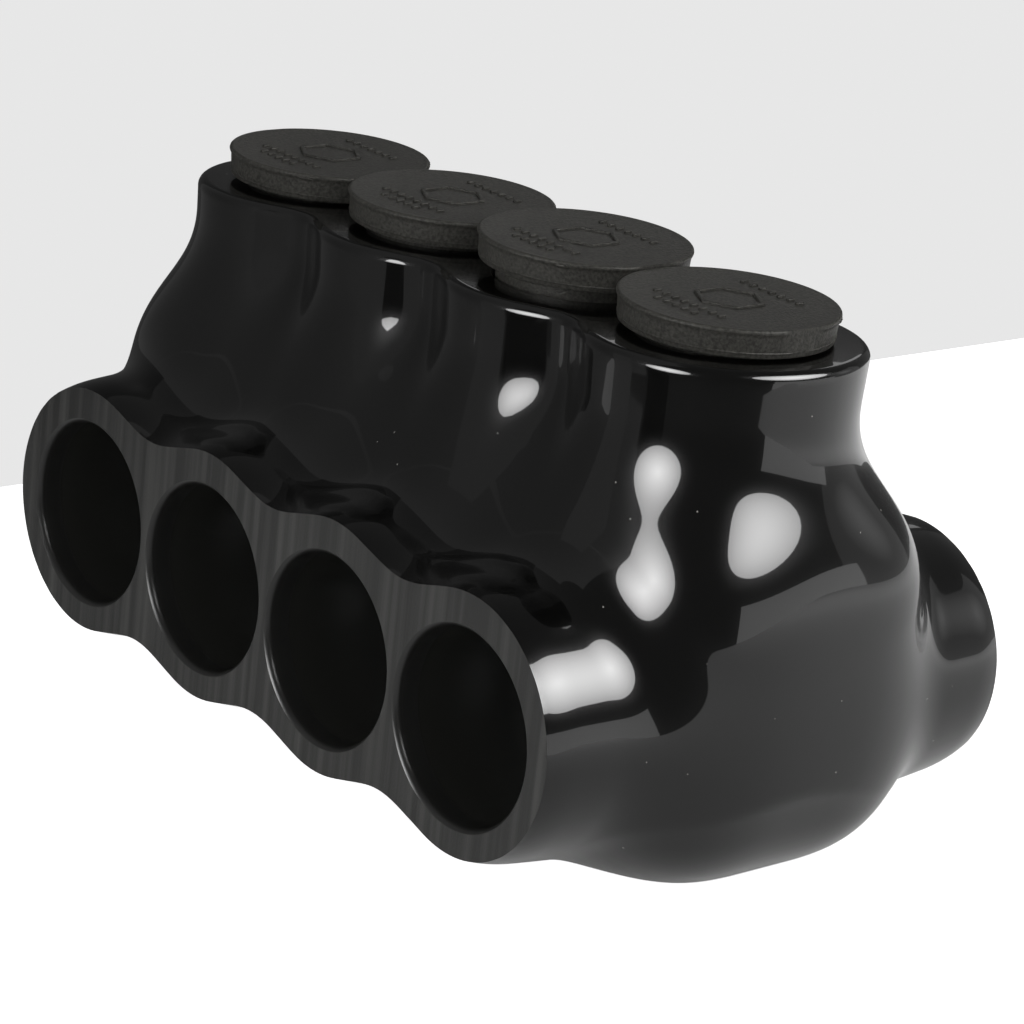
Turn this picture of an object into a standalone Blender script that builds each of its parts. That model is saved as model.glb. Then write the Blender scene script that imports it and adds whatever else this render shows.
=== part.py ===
"""Insulated multi-tap connector: a moulded cover over one aluminium bar, with
a row of wire ports open at the front and the back, a set screw over each port,
and a push-in plug over each screw.

Run it with Blender 4.5: blender --background --python part.py
Units are metres. X runs along the row of ports, Y from front to back, Z up,
and the origin is at the bottom centre.
"""

import math

import bmesh
import bpy
import numpy as np
from mathutils import Matrix, Vector

MM = 0.001

# Row of ports
PORTS = 4
PITCH = 25.4 * MM
PORT_AXIS_Z = 20.3 * MM
SCREW_ROW_Y = -2.0 * MM
RUNNING_GAP = 0.3 * MM

# Cover, outside
COVER_HALF_DEPTH = 35.5 * MM
FRONT_HALF_WIDTH = 15.2 * MM
BACK_HALF_WIDTH = 16.0 * MM
SPOUT_HALF_HEIGHT = 16.4 * MM
FRONT_RISE = 0.4 * MM
BACK_RISE = -0.65 * MM
SPOUT_BLEND = 10.2 * MM
BODY_HALF_DEPTH = 22.0 * MM
BODY_END_REACH = 22.3 * MM
BODY_HEIGHT = 49.5 * MM
BODY_ROUNDING = 15.8 * MM
BODY_SQUARENESS = 2.35
BODY_BLEND = 8.2 * MM
END_ROOT = 9.5 * MM
SPOUT_ROOT = 12.0 * MM
FOOT_TRIM = 0.6 * MM
TURRET_RADIUS = 17.0 * MM
TURRET_WAIST = 0.6 * MM
TURRET_BLEND = 5.0 * MM
TURRET_TOP_Z = 62.1 * MM
TURRET_TOP_SLOPE = 0.03
TURRET_EDGE = 1.2 * MM

# Cover, inside
MOUTH_RADIUS = 11.95 * MM
MOUTH_DEPTH = 3.2 * MM
SLEEVE_RADIUS = 11.5 * MM
SOCKET_RADIUS = 10.6 * MM

# Aluminium bar
BAR_HALF_DEPTH = 15.0 * MM
BAR_BELOW_PORT = 12.0 * MM
BAR_ABOVE_PORT = 23.0 * MM
BAR_END_WALL = 4.5 * MM
BAR_EDGE = 1.0 * MM
WIRE_PORT_RADIUS = 9.25 * MM
HOLE_CHAMFER = 0.8 * MM

# Set screw
SCREW_RADIUS = 8.0 * MM
SCREW_LENGTH = 20.0 * MM
SCREW_CHAMFER = 0.8 * MM
SCREW_TIP_RADIUS = 5.2 * MM
SCREW_TIP_LENGTH = 2.0 * MM
SCREW_CLEARANCE = 0.25 * MM
HEX_ACROSS_FLATS = 8.0 * MM
HEX_DEPTH = 9.0 * MM

# Access plug
HEAD_RADIUS = 12.95 * MM
HEAD_HEIGHT = 3.4 * MM
HEAD_TOP_WALL = 2.0 * MM
HEAD_TAPER = 0.15 * MM
RIM_HEIGHT = 0.7 * MM
RIM_OVERHANG = 0.25 * MM
SKIRT_LENGTH = 8.0 * MM
SKIRT_WALL = 1.5 * MM
SKIRT_LEAD_IN = 0.8 * MM
PLUG_LIFTS = (0.0, 0.2 * MM, 1.1 * MM, 0.0)

# Fineness of the round surfaces
SKIN_CELL = 7.0 * MM
SETTLE_ROUNDS = 6
EDGE_STEPS = 2
RIM_WELD = 0.6 * MM
BORE_SIDES = 32
SCREW_SIDES = 24
PLUG_SIDES = 36


def port_x(port):
    """Where a port's axis lies along the row."""
    return (port - (PORTS - 1) / 2) * PITCH


def turret_top_z(x):
    """Height of the turrets' tops, which rise a little along the row."""
    return TURRET_TOP_Z + TURRET_TOP_SLOPE * x


ROW_HALF_LENGTH = port_x(PORTS - 1)
BODY_HALF_LENGTH = ROW_HALF_LENGTH + BODY_END_REACH
BAR_HALF_LENGTH = ROW_HALF_LENGTH + WIRE_PORT_RADIUS + BAR_END_WALL
BAR_BOTTOM_Z = PORT_AXIS_Z - BAR_BELOW_PORT
BAR_TOP_Z = PORT_AXIS_Z + BAR_ABOVE_PORT
SCREW_TIP_Z = PORT_AXIS_Z + WIRE_PORT_RADIUS + RUNNING_GAP
HEAD_HALF_WIDTH = (PITCH - RUNNING_GAP) / 2
SKIRT_RADIUS = SOCKET_RADIUS - RUNNING_GAP


def clear_scene():
    for old in list(bpy.data.objects):
        bpy.data.objects.remove(old)


def material(name, colour, roughness, metallic=0.0):
    made = bpy.data.materials.new(name)
    made.use_nodes = True
    shader = made.node_tree.nodes["Principled BSDF"]
    shader.inputs["Base Color"].default_value = (*colour, 1.0)
    shader.inputs["Roughness"].default_value = roughness
    shader.inputs["Metallic"].default_value = metallic
    return made


def new_object(name, bm, finish=None, place=(0, 0, 0), crease_angle=35):
    """Makes an object of a bmesh, round faces shaded smooth and edges kept sharp."""
    bmesh.ops.recalc_face_normals(bm, faces=bm.faces)
    mesh = bpy.data.meshes.new(name)
    bm.to_mesh(mesh)
    bm.free()
    mesh.shade_smooth()
    mesh.set_sharp_from_angle(angle=math.radians(crease_angle))
    if finish:
        mesh.materials.append(finish)
    made = bpy.data.objects.new(name, mesh)
    made.location = place
    bpy.context.scene.collection.objects.link(made)
    return made


def turned(profile, sides, axis="Z"):
    """A bmesh of a profile of (radius, height) points, from axis to axis, spun round."""
    bm = bmesh.new()
    corners = [bm.verts.new((radius, 0, height)) for radius, height in profile]
    edges = [bm.edges.new(pair) for pair in zip(corners, corners[1:])]
    bmesh.ops.spin(
        bm,
        geom=corners + edges,
        axis=(0, 0, 1),
        cent=(0, 0, 0),
        angle=math.tau,
        steps=sides,
        use_merge=True,
    )
    bmesh.ops.remove_doubles(bm, verts=bm.verts, dist=0.001 * MM)
    if axis == "Y":
        bmesh.ops.rotate(bm, verts=bm.verts, matrix=Matrix.Rotation(math.pi / 2, 3, "X"))
    return bm


def boxed(low, high, edge=0.0):
    """A bmesh of a box from its lowest to its highest corner, its edges chamfered."""
    bm = bmesh.new()
    bmesh.ops.create_cube(bm, size=1)
    bmesh.ops.scale(bm, verts=bm.verts, vec=Vector(high) - Vector(low))
    bmesh.ops.translate(bm, verts=bm.verts, vec=(Vector(low) + Vector(high)) / 2)
    if edge:
        bmesh.ops.bevel(
            bm,
            geom=bm.edges[:],
            offset=edge,
            offset_type="OFFSET",
            segments=1,
            profile=0.5,
            affect="EDGES",
            material=-1,
        )
    return bm


def tool(name, bm, place=(0, 0, 0)):
    """A hidden shape that cuts or builds up another."""
    made = new_object(name, bm, place=place)
    made.hide_render = True
    made.display_type = "WIRE"
    return made


def combine(target, operation, other):
    """Cuts the other object out of the target, or joins it on."""
    step = target.modifiers.new(other.name, "BOOLEAN")
    step.operation = operation
    step.object = other


def blend(a, b, width):
    """The nearer of two distances, rounded off where they come within a width of each other."""
    share = np.clip(0.5 + 0.5 * (b - a) / width, 0, 1)
    return b * (1 - share) + a * share - width * share * (1 - share)


def blended_row(distance_to, points, width):
    """Distance from the like shapes round each port, blended into their neighbours."""
    joined = distance_to(points, 0)
    for port in range(1, PORTS):
        joined = blend(joined, distance_to(points, port), width)
    return joined


def spout_distance(points, port):
    """Distance from one port's two spouts, an ellipse in section that changes front to back."""
    x, y, z = points.T
    back = 0.5 + 0.5 * y / COVER_HALF_DEPTH
    half_width = FRONT_HALF_WIDTH + (BACK_HALF_WIDTH - FRONT_HALF_WIDTH) * back
    rise = FRONT_RISE + (BACK_RISE - FRONT_RISE) * back
    across = x - port_x(port)
    above = z - PORT_AXIS_Z - rise
    share = np.hypot(across / half_width, above / SPOUT_HALF_HEIGHT)
    slope = np.hypot(across / half_width**2, above / SPOUT_HALF_HEIGHT**2)
    tube = share * (share - 1) / np.maximum(slope, 1e-9)
    return np.maximum(tube, np.abs(y) - COVER_HALF_DEPTH - SKIN_CELL)


def turret_distance(points, port):
    """Distance from one turret, which flares towards its rim."""
    x, y, z = points.T
    height = np.clip((z - BODY_HEIGHT) / (TURRET_TOP_Z - BODY_HEIGHT), 0, 1)
    radius = TURRET_RADIUS - TURRET_WAIST * (1 - height**2)
    wall = np.hypot(x - port_x(port), y - SCREW_ROW_Y) - radius
    top = z - turret_top_z(x) - SKIN_CELL
    return np.maximum(np.maximum(wall, top), PORT_AXIS_Z - z)


def body_distance(points):
    """Distance from the rounded block round the bar."""
    x, y, z = points.T
    middle_z = (BODY_HEIGHT - FOOT_TRIM) / 2
    walls = [
        np.abs(x) - BODY_HALF_LENGTH,
        np.abs(y) - BODY_HALF_DEPTH,
        np.abs(z - middle_z) - middle_z - FOOT_TRIM,
    ]
    inset = np.stack(walls) + BODY_ROUNDING
    past = np.maximum(inset, 0)
    in_plan = (past[0] ** BODY_SQUARENESS + past[1] ** BODY_SQUARENESS) ** (1 / BODY_SQUARENESS)
    return np.hypot(in_plan, past[2]) + np.minimum(inset.max(axis=0), 0) - BODY_ROUNDING


def skin_distance(points):
    """Distance of each point from the moulded skin, negative inside it."""
    turrets = blended_row(turret_distance, points, TURRET_BLEND)
    spouts = blended_row(spout_distance, points, SPOUT_BLEND)
    ends = (ROW_HALF_LENGTH - 6 * MM, ROW_HALF_LENGTH + 12 * MM)
    root = np.interp(np.abs(points[:, 0]), ends, (SPOUT_ROOT, END_ROOT))
    return blend(blend(body_distance(points), turrets, BODY_BLEND), spouts, root)


def skin_slope(points):
    """How the distance from the skin grows along X, Y and Z at each point."""
    step = 0.01 * MM
    slopes = [
        (skin_distance(points + offset) - skin_distance(points - offset)) / (2 * step)
        for offset in step * np.eye(3)
    ]
    return np.stack(slopes, axis=1)


def settle(bm):
    """Relaxes a mesh and draws its corners onto the moulded skin, several times over."""
    for _ in range(SETTLE_ROUNDS):
        bmesh.ops.smooth_vert(
            bm, verts=bm.verts, factor=0.5, use_axis_x=True, use_axis_y=True, use_axis_z=True
        )
        points = np.array([corner.co for corner in bm.verts], dtype=float)
        for _ in range(4):
            slope = skin_slope(points)
            steepness = np.maximum((slope**2).sum(axis=1), 0.05)
            points -= (skin_distance(points) / steepness)[:, None] * slope
        for corner, point in zip(bm.verts, points):
            corner.co = point


def sliced_box(low, high):
    """A box cut by planes into faces about one cell wide."""
    bm = boxed(low, high)
    for axis in range(3):
        normal = Vector((0, 0, 0))
        normal[axis] = 1
        length = high[axis] - low[axis]
        count = max(1, round(length / SKIN_CELL))
        for number in range(1, count):
            geometry = bm.verts[:] + bm.edges[:] + bm.faces[:]
            place = normal * (low[axis] + length * number / count)
            bmesh.ops.bisect_plane(bm, geom=geometry, plane_co=place, plane_no=normal)
    return bm


def push_out(bm, chosen, direction, length):
    """Extrudes the chosen faces a length, in steps about one cell long."""
    faces = [face for face in bm.faces if chosen(face)]
    count = max(1, round(length / SKIN_CELL))
    for _ in range(count):
        grown = bmesh.ops.extrude_face_region(bm, geom=faces)["geom"]
        bmesh.ops.delete(bm, geom=faces, context="FACES")
        corners = [item for item in grown if isinstance(item, bmesh.types.BMVert)]
        faces = [item for item in grown if isinstance(item, bmesh.types.BMFace)]
        bmesh.ops.translate(bm, verts=corners, vec=Vector(direction) * length / count)


def saw(bm, place, normal):
    """Cuts off what lies beyond a plane, welds the rim's near corners, and closes the cut."""
    geometry = bm.verts[:] + bm.edges[:] + bm.faces[:]
    sawn = bmesh.ops.bisect_plane(
        bm, geom=geometry, plane_co=place, plane_no=normal, clear_outer=True
    )["geom_cut"]
    corners = [item for item in sawn if isinstance(item, bmesh.types.BMVert)]
    bmesh.ops.remove_doubles(bm, verts=corners, dist=RIM_WELD)
    rim = [edge for edge in bm.edges if edge.is_boundary]
    return bmesh.ops.edgeloop_fill(bm, edges=rim)["faces"]


def round_over(bm, face, radius):
    """Gives a flat face a rounded rim, by insetting and raising it round a quarter circle."""
    angles = [math.radians(90) * step / EDGE_STEPS for step in range(EDGE_STEPS + 1)]
    for before, after in zip(angles, angles[1:]):
        bmesh.ops.inset_region(
            bm,
            faces=face,
            thickness=radius * (math.cos(before) - math.cos(after)),
            depth=radius * (math.sin(after) - math.sin(before)),
            use_even_offset=True,
            use_boundary=True,
        )


def skin():
    """The cover's outside: a body with turrets above it and spouts at both sides."""
    bm = sliced_box(
        (-BODY_HALF_LENGTH, -BODY_HALF_DEPTH, -FOOT_TRIM),
        (BODY_HALF_LENGTH, BODY_HALF_DEPTH, BODY_HEIGHT),
    )
    for side in (-1, 1):
        push_out(
            bm,
            lambda face: face.normal.y * side > 0.9
            and abs(face.calc_center_median().z - PORT_AXIS_Z) < SPOUT_HALF_HEIGHT,
            (0, side, 0),
            COVER_HALF_DEPTH + SKIN_CELL - BODY_HALF_DEPTH,
        )
    push_out(
        bm,
        lambda face: face.normal.z > 0.9
        and face.calc_center_median().z > BODY_HEIGHT - SKIN_CELL / 2
        and abs(face.calc_center_median().y) < TURRET_RADIUS,
        (0, 0, 1),
        TURRET_TOP_Z + SKIN_CELL - BODY_HEIGHT,
    )
    settle(bm)
    bmesh.ops.subdivide_edges(bm, edges=bm.edges, cuts=1, use_grid_fill=True)
    settle(bm)
    for side in (-1, 1):
        saw(bm, (0, side * COVER_HALF_DEPTH, 0), (0, side, 0))
    saw(bm, (0, 0, 0), (0, 0, -1))
    top = saw(bm, (0, 0, TURRET_TOP_Z - TURRET_EDGE), (-TURRET_TOP_SLOPE, 0, 1))
    round_over(bm, top, TURRET_EDGE)
    return bm


def bar_block(margin=0.0):
    """The bar's outer block, or with a margin the cavity that holds it."""
    half_length = BAR_HALF_LENGTH + margin
    half_depth = BAR_HALF_DEPTH + margin
    return boxed(
        (-half_length, -half_depth, BAR_BOTTOM_Z - margin),
        (half_length, half_depth, BAR_TOP_Z + margin),
        BAR_EDGE,
    )


def sleeve_core():
    """What one port takes out of the cover: a sleeve with a wider mouth at each end."""
    mouth = COVER_HALF_DEPTH - MOUTH_DEPTH
    beyond = COVER_HALF_DEPTH + MOUTH_DEPTH
    profile = [
        (0, -beyond),
        (MOUTH_RADIUS, -beyond),
        (MOUTH_RADIUS, -mouth),
        (SLEEVE_RADIUS, -mouth),
        (SLEEVE_RADIUS, mouth),
        (MOUTH_RADIUS, mouth),
        (MOUTH_RADIUS, beyond),
        (0, beyond),
    ]
    return turned(profile, BORE_SIDES, axis="Y")


def socket_core():
    """What one plug and its screw take out of the cover, from the bar's cavity up."""
    height = TURRET_TOP_Z + SKIN_CELL - BAR_TOP_Z
    profile = [(0, -BAR_EDGE), (SOCKET_RADIUS, -BAR_EDGE), (SOCKET_RADIUS, height), (0, height)]
    return turned(profile, BORE_SIDES)


def cover(finish):
    """The skin, hollowed by one core: the bar's cavity with every sleeve and socket joined on."""
    core = tool("cover_core", bar_block(RUNNING_GAP))
    for port in range(PORTS):
        x = port_x(port)
        sleeve = tool(f"sleeve_core_{port + 1}", sleeve_core(), (x, 0, PORT_AXIS_Z))
        socket = tool(f"socket_core_{port + 1}", socket_core(), (x, SCREW_ROW_Y, BAR_TOP_Z))
        combine(core, "UNION", sleeve)
        combine(core, "UNION", socket)
    combine(new_object("insulating_cover", skin(), finish), "DIFFERENCE", core)


def wire_port_core():
    """A hole right through the bar, chamfered at both mouths."""
    beyond = BAR_HALF_DEPTH + HOLE_CHAMFER
    inside = BAR_HALF_DEPTH - HOLE_CHAMFER
    flared = WIRE_PORT_RADIUS + 2 * HOLE_CHAMFER
    profile = [
        (0, -beyond),
        (flared, -beyond),
        (WIRE_PORT_RADIUS, -inside),
        (WIRE_PORT_RADIUS, inside),
        (flared, beyond),
        (0, beyond),
    ]
    return turned(profile, BORE_SIDES, axis="Y")


def screw_hole_core():
    """A tapped hole from the bar's top down into its wire port, chamfered at the top."""
    radius = SCREW_RADIUS + SCREW_CLEARANCE
    depth = BAR_ABOVE_PORT - WIRE_PORT_RADIUS / 2
    profile = [
        (0, -depth),
        (radius, -depth),
        (radius, -HOLE_CHAMFER),
        (radius + 2 * HOLE_CHAMFER, HOLE_CHAMFER),
        (0, HOLE_CHAMFER),
    ]
    return turned(profile, SCREW_SIDES)


def bar(finish):
    made = new_object("connector_bar", bar_block(), finish)
    for port in range(PORTS):
        x = port_x(port)
        wire_port = tool(f"wire_port_core_{port + 1}", wire_port_core(), (x, 0, PORT_AXIS_Z))
        place = (x, SCREW_ROW_Y, BAR_TOP_Z)
        screw_hole = tool(f"screw_hole_core_{port + 1}", screw_hole_core(), place)
        combine(made, "DIFFERENCE", wire_port)
        combine(made, "DIFFERENCE", screw_hole)


def hex_core():
    """The wrench socket in a screw's head."""
    bm = bmesh.new()
    bmesh.ops.create_cone(
        bm,
        cap_ends=True,
        segments=6,
        radius1=HEX_ACROSS_FLATS / math.sqrt(3),
        radius2=HEX_ACROSS_FLATS / math.sqrt(3),
        depth=2 * HEX_DEPTH,
    )
    return bm


def set_screw(port, finish):
    """A hex-socket set screw backed off so that its tip just clears the wire port."""
    profile = [
        (0, 0),
        (SCREW_TIP_RADIUS, 0),
        (SCREW_RADIUS, SCREW_TIP_LENGTH),
        (SCREW_RADIUS, SCREW_LENGTH - SCREW_CHAMFER),
        (SCREW_RADIUS - SCREW_CHAMFER, SCREW_LENGTH),
        (0, SCREW_LENGTH),
    ]
    x = port_x(port)
    place = (x, SCREW_ROW_Y, SCREW_TIP_Z)
    made = new_object(f"set_screw_{port + 1}", turned(profile, SCREW_SIDES), finish, place)
    top = (x, SCREW_ROW_Y, SCREW_TIP_Z + SCREW_LENGTH)
    combine(made, "DIFFERENCE", tool(f"hex_core_{port + 1}", hex_core(), top))


def access_plug(port, finish):
    """A soft plug, hollow from below: a disc head with a fine rim, and a skirt in the socket.

    Where two heads meet, each is pressed flat by its neighbour.
    """
    wall = HEAD_RADIUS - RIM_OVERHANG
    inside = SKIRT_RADIUS - SKIRT_WALL
    profile = [
        (0, HEAD_HEIGHT),
        (HEAD_RADIUS - RIM_HEIGHT / 2, HEAD_HEIGHT),
        (HEAD_RADIUS, HEAD_HEIGHT - RIM_HEIGHT / 2),
        (HEAD_RADIUS, HEAD_HEIGHT - RIM_HEIGHT),
        (wall, HEAD_HEIGHT - RIM_HEIGHT - RIM_OVERHANG),
        (wall - HEAD_TAPER, 0),
        (SKIRT_RADIUS, 0),
        (SKIRT_RADIUS, SKIRT_LEAD_IN - SKIRT_LENGTH),
        (SKIRT_RADIUS - SKIRT_LEAD_IN, -SKIRT_LENGTH),
        (inside, -SKIRT_LENGTH),
        (inside, HEAD_HEIGHT - HEAD_TOP_WALL),
        (0, HEAD_HEIGHT - HEAD_TOP_WALL),
    ]
    x = port_x(port)
    ring_top = turret_top_z(x) + abs(TURRET_TOP_SLOPE) * HEAD_RADIUS
    place = (x, SCREW_ROW_Y, ring_top + RUNNING_GAP + PLUG_LIFTS[port])
    bm = turned(profile, PLUG_SIDES)
    for corner in bm.verts:
        corner.co.x = min(max(corner.co.x, -HEAD_HALF_WIDTH), HEAD_HALF_WIDTH)
    new_object(f"access_plug_{port + 1}", bm, finish, place)


def main():
    clear_scene()
    cover_vinyl = material("glossy black vinyl", (0.012, 0.012, 0.012), 0.12)
    plug_vinyl = material("matt black vinyl", (0.03, 0.029, 0.026), 0.55)
    aluminium = material("aluminium", (0.72, 0.73, 0.74), 0.35, 1.0)
    bright_aluminium = material("bright turned aluminium", (0.62, 0.63, 0.64), 0.25, 1.0)
    cover(cover_vinyl)
    bar(aluminium)
    for port in range(PORTS):
        set_screw(port, bright_aluminium)
        access_plug(port, plug_vinyl)


main()
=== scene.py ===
# %% [markdown]
# # An insulated multi-tap connector
#
# The real thing is an aluminium bar with four cable ports, dipped and moulded into a soft black vinyl
# cover. A set screw stands over each port, and a push-in plug closes the way down to each screw. The
# solids made beforehand hold every size. This lesson dresses them: each solid gets a smooth, detailed
# mesh in the same place, and each surface gets its own finish.

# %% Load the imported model
import math

import bmesh
import bpy
import numpy as np
from mathutils import Matrix, Vector


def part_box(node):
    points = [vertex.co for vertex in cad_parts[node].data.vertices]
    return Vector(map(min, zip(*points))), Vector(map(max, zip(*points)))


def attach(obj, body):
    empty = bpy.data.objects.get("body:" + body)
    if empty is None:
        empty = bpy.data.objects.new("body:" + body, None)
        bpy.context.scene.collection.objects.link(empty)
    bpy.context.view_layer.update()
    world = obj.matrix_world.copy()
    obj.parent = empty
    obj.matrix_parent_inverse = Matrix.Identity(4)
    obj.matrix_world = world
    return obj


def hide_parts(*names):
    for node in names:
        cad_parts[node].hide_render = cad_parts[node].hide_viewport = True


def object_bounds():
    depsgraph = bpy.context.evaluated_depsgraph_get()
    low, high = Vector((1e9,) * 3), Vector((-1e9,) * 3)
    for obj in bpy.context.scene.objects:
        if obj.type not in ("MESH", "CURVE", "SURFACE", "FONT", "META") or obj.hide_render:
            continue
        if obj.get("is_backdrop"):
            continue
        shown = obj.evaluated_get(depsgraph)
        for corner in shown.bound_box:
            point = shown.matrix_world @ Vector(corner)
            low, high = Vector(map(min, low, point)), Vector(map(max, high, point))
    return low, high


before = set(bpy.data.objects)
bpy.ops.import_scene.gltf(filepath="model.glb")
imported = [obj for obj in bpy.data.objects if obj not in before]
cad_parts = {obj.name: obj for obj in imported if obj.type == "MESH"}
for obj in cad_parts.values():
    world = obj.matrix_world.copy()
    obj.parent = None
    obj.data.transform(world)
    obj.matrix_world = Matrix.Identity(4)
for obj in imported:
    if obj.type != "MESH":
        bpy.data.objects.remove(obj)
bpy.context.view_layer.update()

# %% [markdown]
# ## Sizes
#
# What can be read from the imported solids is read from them, so the dress follows its dummy. The sizes
# that shape the moulded skin are written out here, in millimetres.

# %% Places read from the solids
MM = 0.001
PORTS = 4


def middle(node):
    low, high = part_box(node)
    return (low + high) / 2


PORT_XS = [middle(f"set_screw_{port + 1}").x for port in range(PORTS)]
PITCH = (PORT_XS[-1] - PORT_XS[0]) / (PORTS - 1)
SCREW_ROW_Y = middle("set_screw_1").y
BAR_LOW, BAR_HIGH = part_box("connector_bar")
COVER_HALF_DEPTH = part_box("insulating_cover")[1].y
print("ports stand", round(PITCH / MM, 2), "mm apart")

# %% Sizes of the moulded skin
BAR_BELOW_PORT = 12.0 * MM
PORT_AXIS_Z = BAR_LOW.z + BAR_BELOW_PORT
FRONT_HALF_WIDTH = 15.75 * MM
BACK_HALF_WIDTH = 16.15 * MM
SPOUT_HALF_HEIGHT = 16.0 * MM
FRONT_RISE = 0.4 * MM
BACK_RISE = -0.65 * MM
SPOUT_BLEND = 11.0 * MM
SPOUT_SWELL = 1.43 * MM
SWELL_REACH = 14.0 * MM
SWELL_POWER = 0.8
EDGE_DRAW = 0.35 * MM
EDGE_REACH = 4.0 * MM
BODY_HALF_DEPTH = 22.2 * MM
BODY_END_REACH = 21.5 * MM
BODY_HALF_LENGTH = PORT_XS[-1] + BODY_END_REACH
BODY_HEIGHT = 48.0 * MM
BODY_ROUNDING = 19.3 * MM
BODY_SQUARENESS = 2.96
SHOULDER_HEIGHT = 17.15 * MM
SHOULDER_SQUARENESS = 2.64
BODY_BLEND = 11.0 * MM
END_ROOT = 5.4 * MM
SPOUT_ROOT = 7.5 * MM
ROOT_CHANGE = (-6 * MM, 12 * MM)
FOOT_TRIM = 0.6 * MM
TURRET_RADIUS = 16.75 * MM
TURRET_WAIST = 0.4 * MM
TURRET_BLEND = 6.4 * MM
TURRET_TOP_Z = 62.1 * MM
TURRET_TOP_SLOPE = 0.03
TURRET_EDGE = 1.2 * MM
print("the body is", round(2 * BODY_HALF_LENGTH / MM, 1), "mm long")

# %% [markdown]
# ## The moulded skin
#
# A dipped cover has no creases: body, turrets and spouts flow into each other. One way to get that is to
# describe the surface by distance. For any point in space a formula says how far it is from a rounded
# block, from the nearest turret and from the nearest spout. Where two shapes come close, the nearer
# distance is rounded off, which gives the fillet between them. A coarse cage of quads is then relaxed
# and drawn onto the surface where that distance is nought, and made finer between the rounds.

# %% Distances from the body, the turrets and the spouts
SKIN_CELL = 7.0 * MM


def blend(a, b, width):
    """The nearer of two distances, rounded off where they come within a width of each other."""
    share = np.clip(0.5 + 0.5 * (b - a) / width, 0, 1)
    return b * (1 - share) + a * share - width * share * (1 - share)


def blended_row(distance_to, points, width):
    """Distance from the like shapes round each port, blended into their neighbours."""
    joined = distance_to(points, PORT_XS[0])
    for port_x in PORT_XS[1:]:
        joined = blend(joined, distance_to(points, port_x), width)
    return joined


def spout_distance(points, port_x):
    """Distance from one port's two spouts, oval in section and thicker towards the body.

    They draw in a little where they are sawn off.
    """
    x, y, z = points.T
    back = 0.5 + 0.5 * y / COVER_HALF_DEPTH
    half_width = FRONT_HALF_WIDTH + (BACK_HALF_WIDTH - FRONT_HALF_WIDTH) * back
    rise = FRONT_RISE + (BACK_RISE - FRONT_RISE) * back
    across = x - port_x
    above = z - PORT_AXIS_Z - rise
    share = np.hypot(across / half_width, above / SPOUT_HALF_HEIGHT)
    slope = np.hypot(across / half_width**2, above / SPOUT_HALF_HEIGHT**2)
    swell = np.clip((COVER_HALF_DEPTH - np.abs(y)) / SWELL_REACH, 0, 2) ** SWELL_POWER
    draw = EDGE_DRAW * np.clip(1 - (COVER_HALF_DEPTH - np.abs(y)) / EDGE_REACH, 0, 2) ** 2
    tube = share * (share - 1) / np.maximum(slope, 1e-9) - SPOUT_SWELL * swell + draw
    return np.maximum(tube, np.abs(y) - COVER_HALF_DEPTH - SKIN_CELL)


def turret_distance(points, port_x):
    """Distance from one turret, which flares towards its rim."""
    x, y, z = points.T
    height = np.clip((z - BODY_HEIGHT) / (TURRET_TOP_Z - BODY_HEIGHT), 0, 1)
    radius = TURRET_RADIUS - TURRET_WAIST * (1 - height**2)
    wall = np.hypot(x - port_x, y - SCREW_ROW_Y) - radius
    top = z - (TURRET_TOP_Z + TURRET_TOP_SLOPE * x) - SKIN_CELL
    return np.maximum(np.maximum(wall, top), PORT_AXIS_Z - z)


def rounded(a, b, squareness):
    """Distance past a corner, round for a squareness of 2 and squarer above it."""
    return (a**squareness + b**squareness) ** (1 / squareness)


def body_distance(points):
    """Distance from the rounded block round the bar."""
    x, y, z = points.T
    middle_z = (BODY_HEIGHT - FOOT_TRIM) / 2
    inset = np.stack(
        [
            np.abs(x) - BODY_HALF_LENGTH + BODY_ROUNDING,
            np.abs(y) - BODY_HALF_DEPTH + BODY_ROUNDING,
            (np.abs(z - middle_z) - middle_z - FOOT_TRIM) * BODY_ROUNDING / SHOULDER_HEIGHT + BODY_ROUNDING,
        ]
    )
    past = np.maximum(inset, 0)
    corner = rounded(rounded(past[0], past[1], BODY_SQUARENESS), past[2], SHOULDER_SQUARENESS)
    return corner + np.minimum(inset.max(axis=0), 0) - BODY_ROUNDING


def skin_distance(points):
    """Distance of each point from the moulded skin, negative inside it.

    The fillet at the spouts' roots grows tighter from the last ports to the cover's two ends.
    """
    turrets = blended_row(turret_distance, points, TURRET_BLEND)
    spouts = blended_row(spout_distance, points, SPOUT_BLEND)
    ends = [PORT_XS[-1] + change for change in ROOT_CHANGE]
    root = np.interp(np.abs(points[:, 0]), ends, (SPOUT_ROOT, END_ROOT))
    return blend(blend(body_distance(points), turrets, BODY_BLEND), spouts, root)


middle_of_part = np.array([[0, 0, PORT_AXIS_Z]])
print("the middle lies", round(-skin_distance(middle_of_part)[0] / MM, 1), "mm inside the skin")

# %% [markdown]
# A mesh is drawn onto the surface by moving each corner along the slope of the distance, by as much as the
# distance says. A little smoothing before each draw spreads the corners evenly.

# %% Drawing a mesh onto the skin
DRAWS = 3
LEAST_STEEPNESS = 0.05


def skin_slope(points):
    """How the distance from the skin grows along X, Y and Z at each point."""
    step = 0.01 * MM
    slopes = [
        (skin_distance(points + offset) - skin_distance(points - offset)) / (2 * step)
        for offset in step * np.eye(3)
    ]
    return np.stack(slopes, axis=1)


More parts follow.
